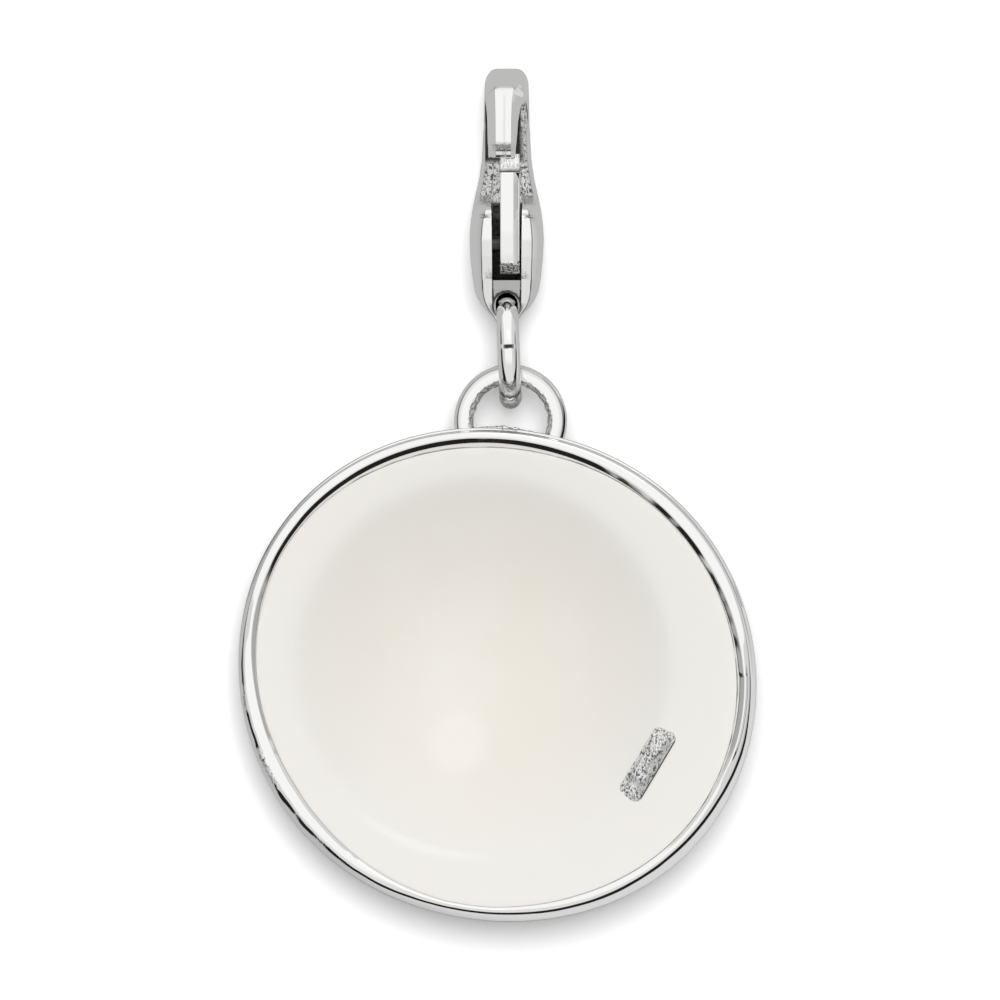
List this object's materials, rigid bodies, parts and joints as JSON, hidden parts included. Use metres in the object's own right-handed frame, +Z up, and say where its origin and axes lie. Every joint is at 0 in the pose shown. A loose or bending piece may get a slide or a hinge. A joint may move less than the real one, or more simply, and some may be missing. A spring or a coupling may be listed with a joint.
{
  "type": "dangle charm with a lobster clasp",
  "caption": "Round dished silver charm with a white enamelled hollow, a soldered bail, a jump ring and a lobster clasp with a hinged lever.",
  "frame": {"origin": "on the surface that the charm lies on, under the middle of its box", "axes": "+Z up out of the enamelled hollow, +Y along the charm from the dish towards the clasp, +X to the right seen from above"},
  "size_m": [0.021, 0.0346, 0.0047],
  "materials": {
    "polished_silver": "rhodium-plated sterling silver, polished, with bare cast faces inside the clasp and the bail",
    "white_enamel": "glossy warm white enamel",
    "rivet_silver": "rivet filed flush with the cheeks"
  },
  "bodies": {
    "charm": {"dish": "polished_silver", "enamel": "white_enamel", "jump_ring": "polished_silver", "clasp_body": "polished_silver", "lever_pin": "rivet_silver"},
    "lever": {"clasp_lever": "polished_silver"}
  },
  "joints": [
    {"name": "lever_hinge", "type": "hinge", "parent": "charm", "child": "lever", "pos_m": [0.00052, 0.01015, 0.00285], "axis": [-1, 0, 0], "range_deg": [0, 22], "stiffness_Nm_per_rad": 0.0004, "springref_deg": -20.05}
  ]
}
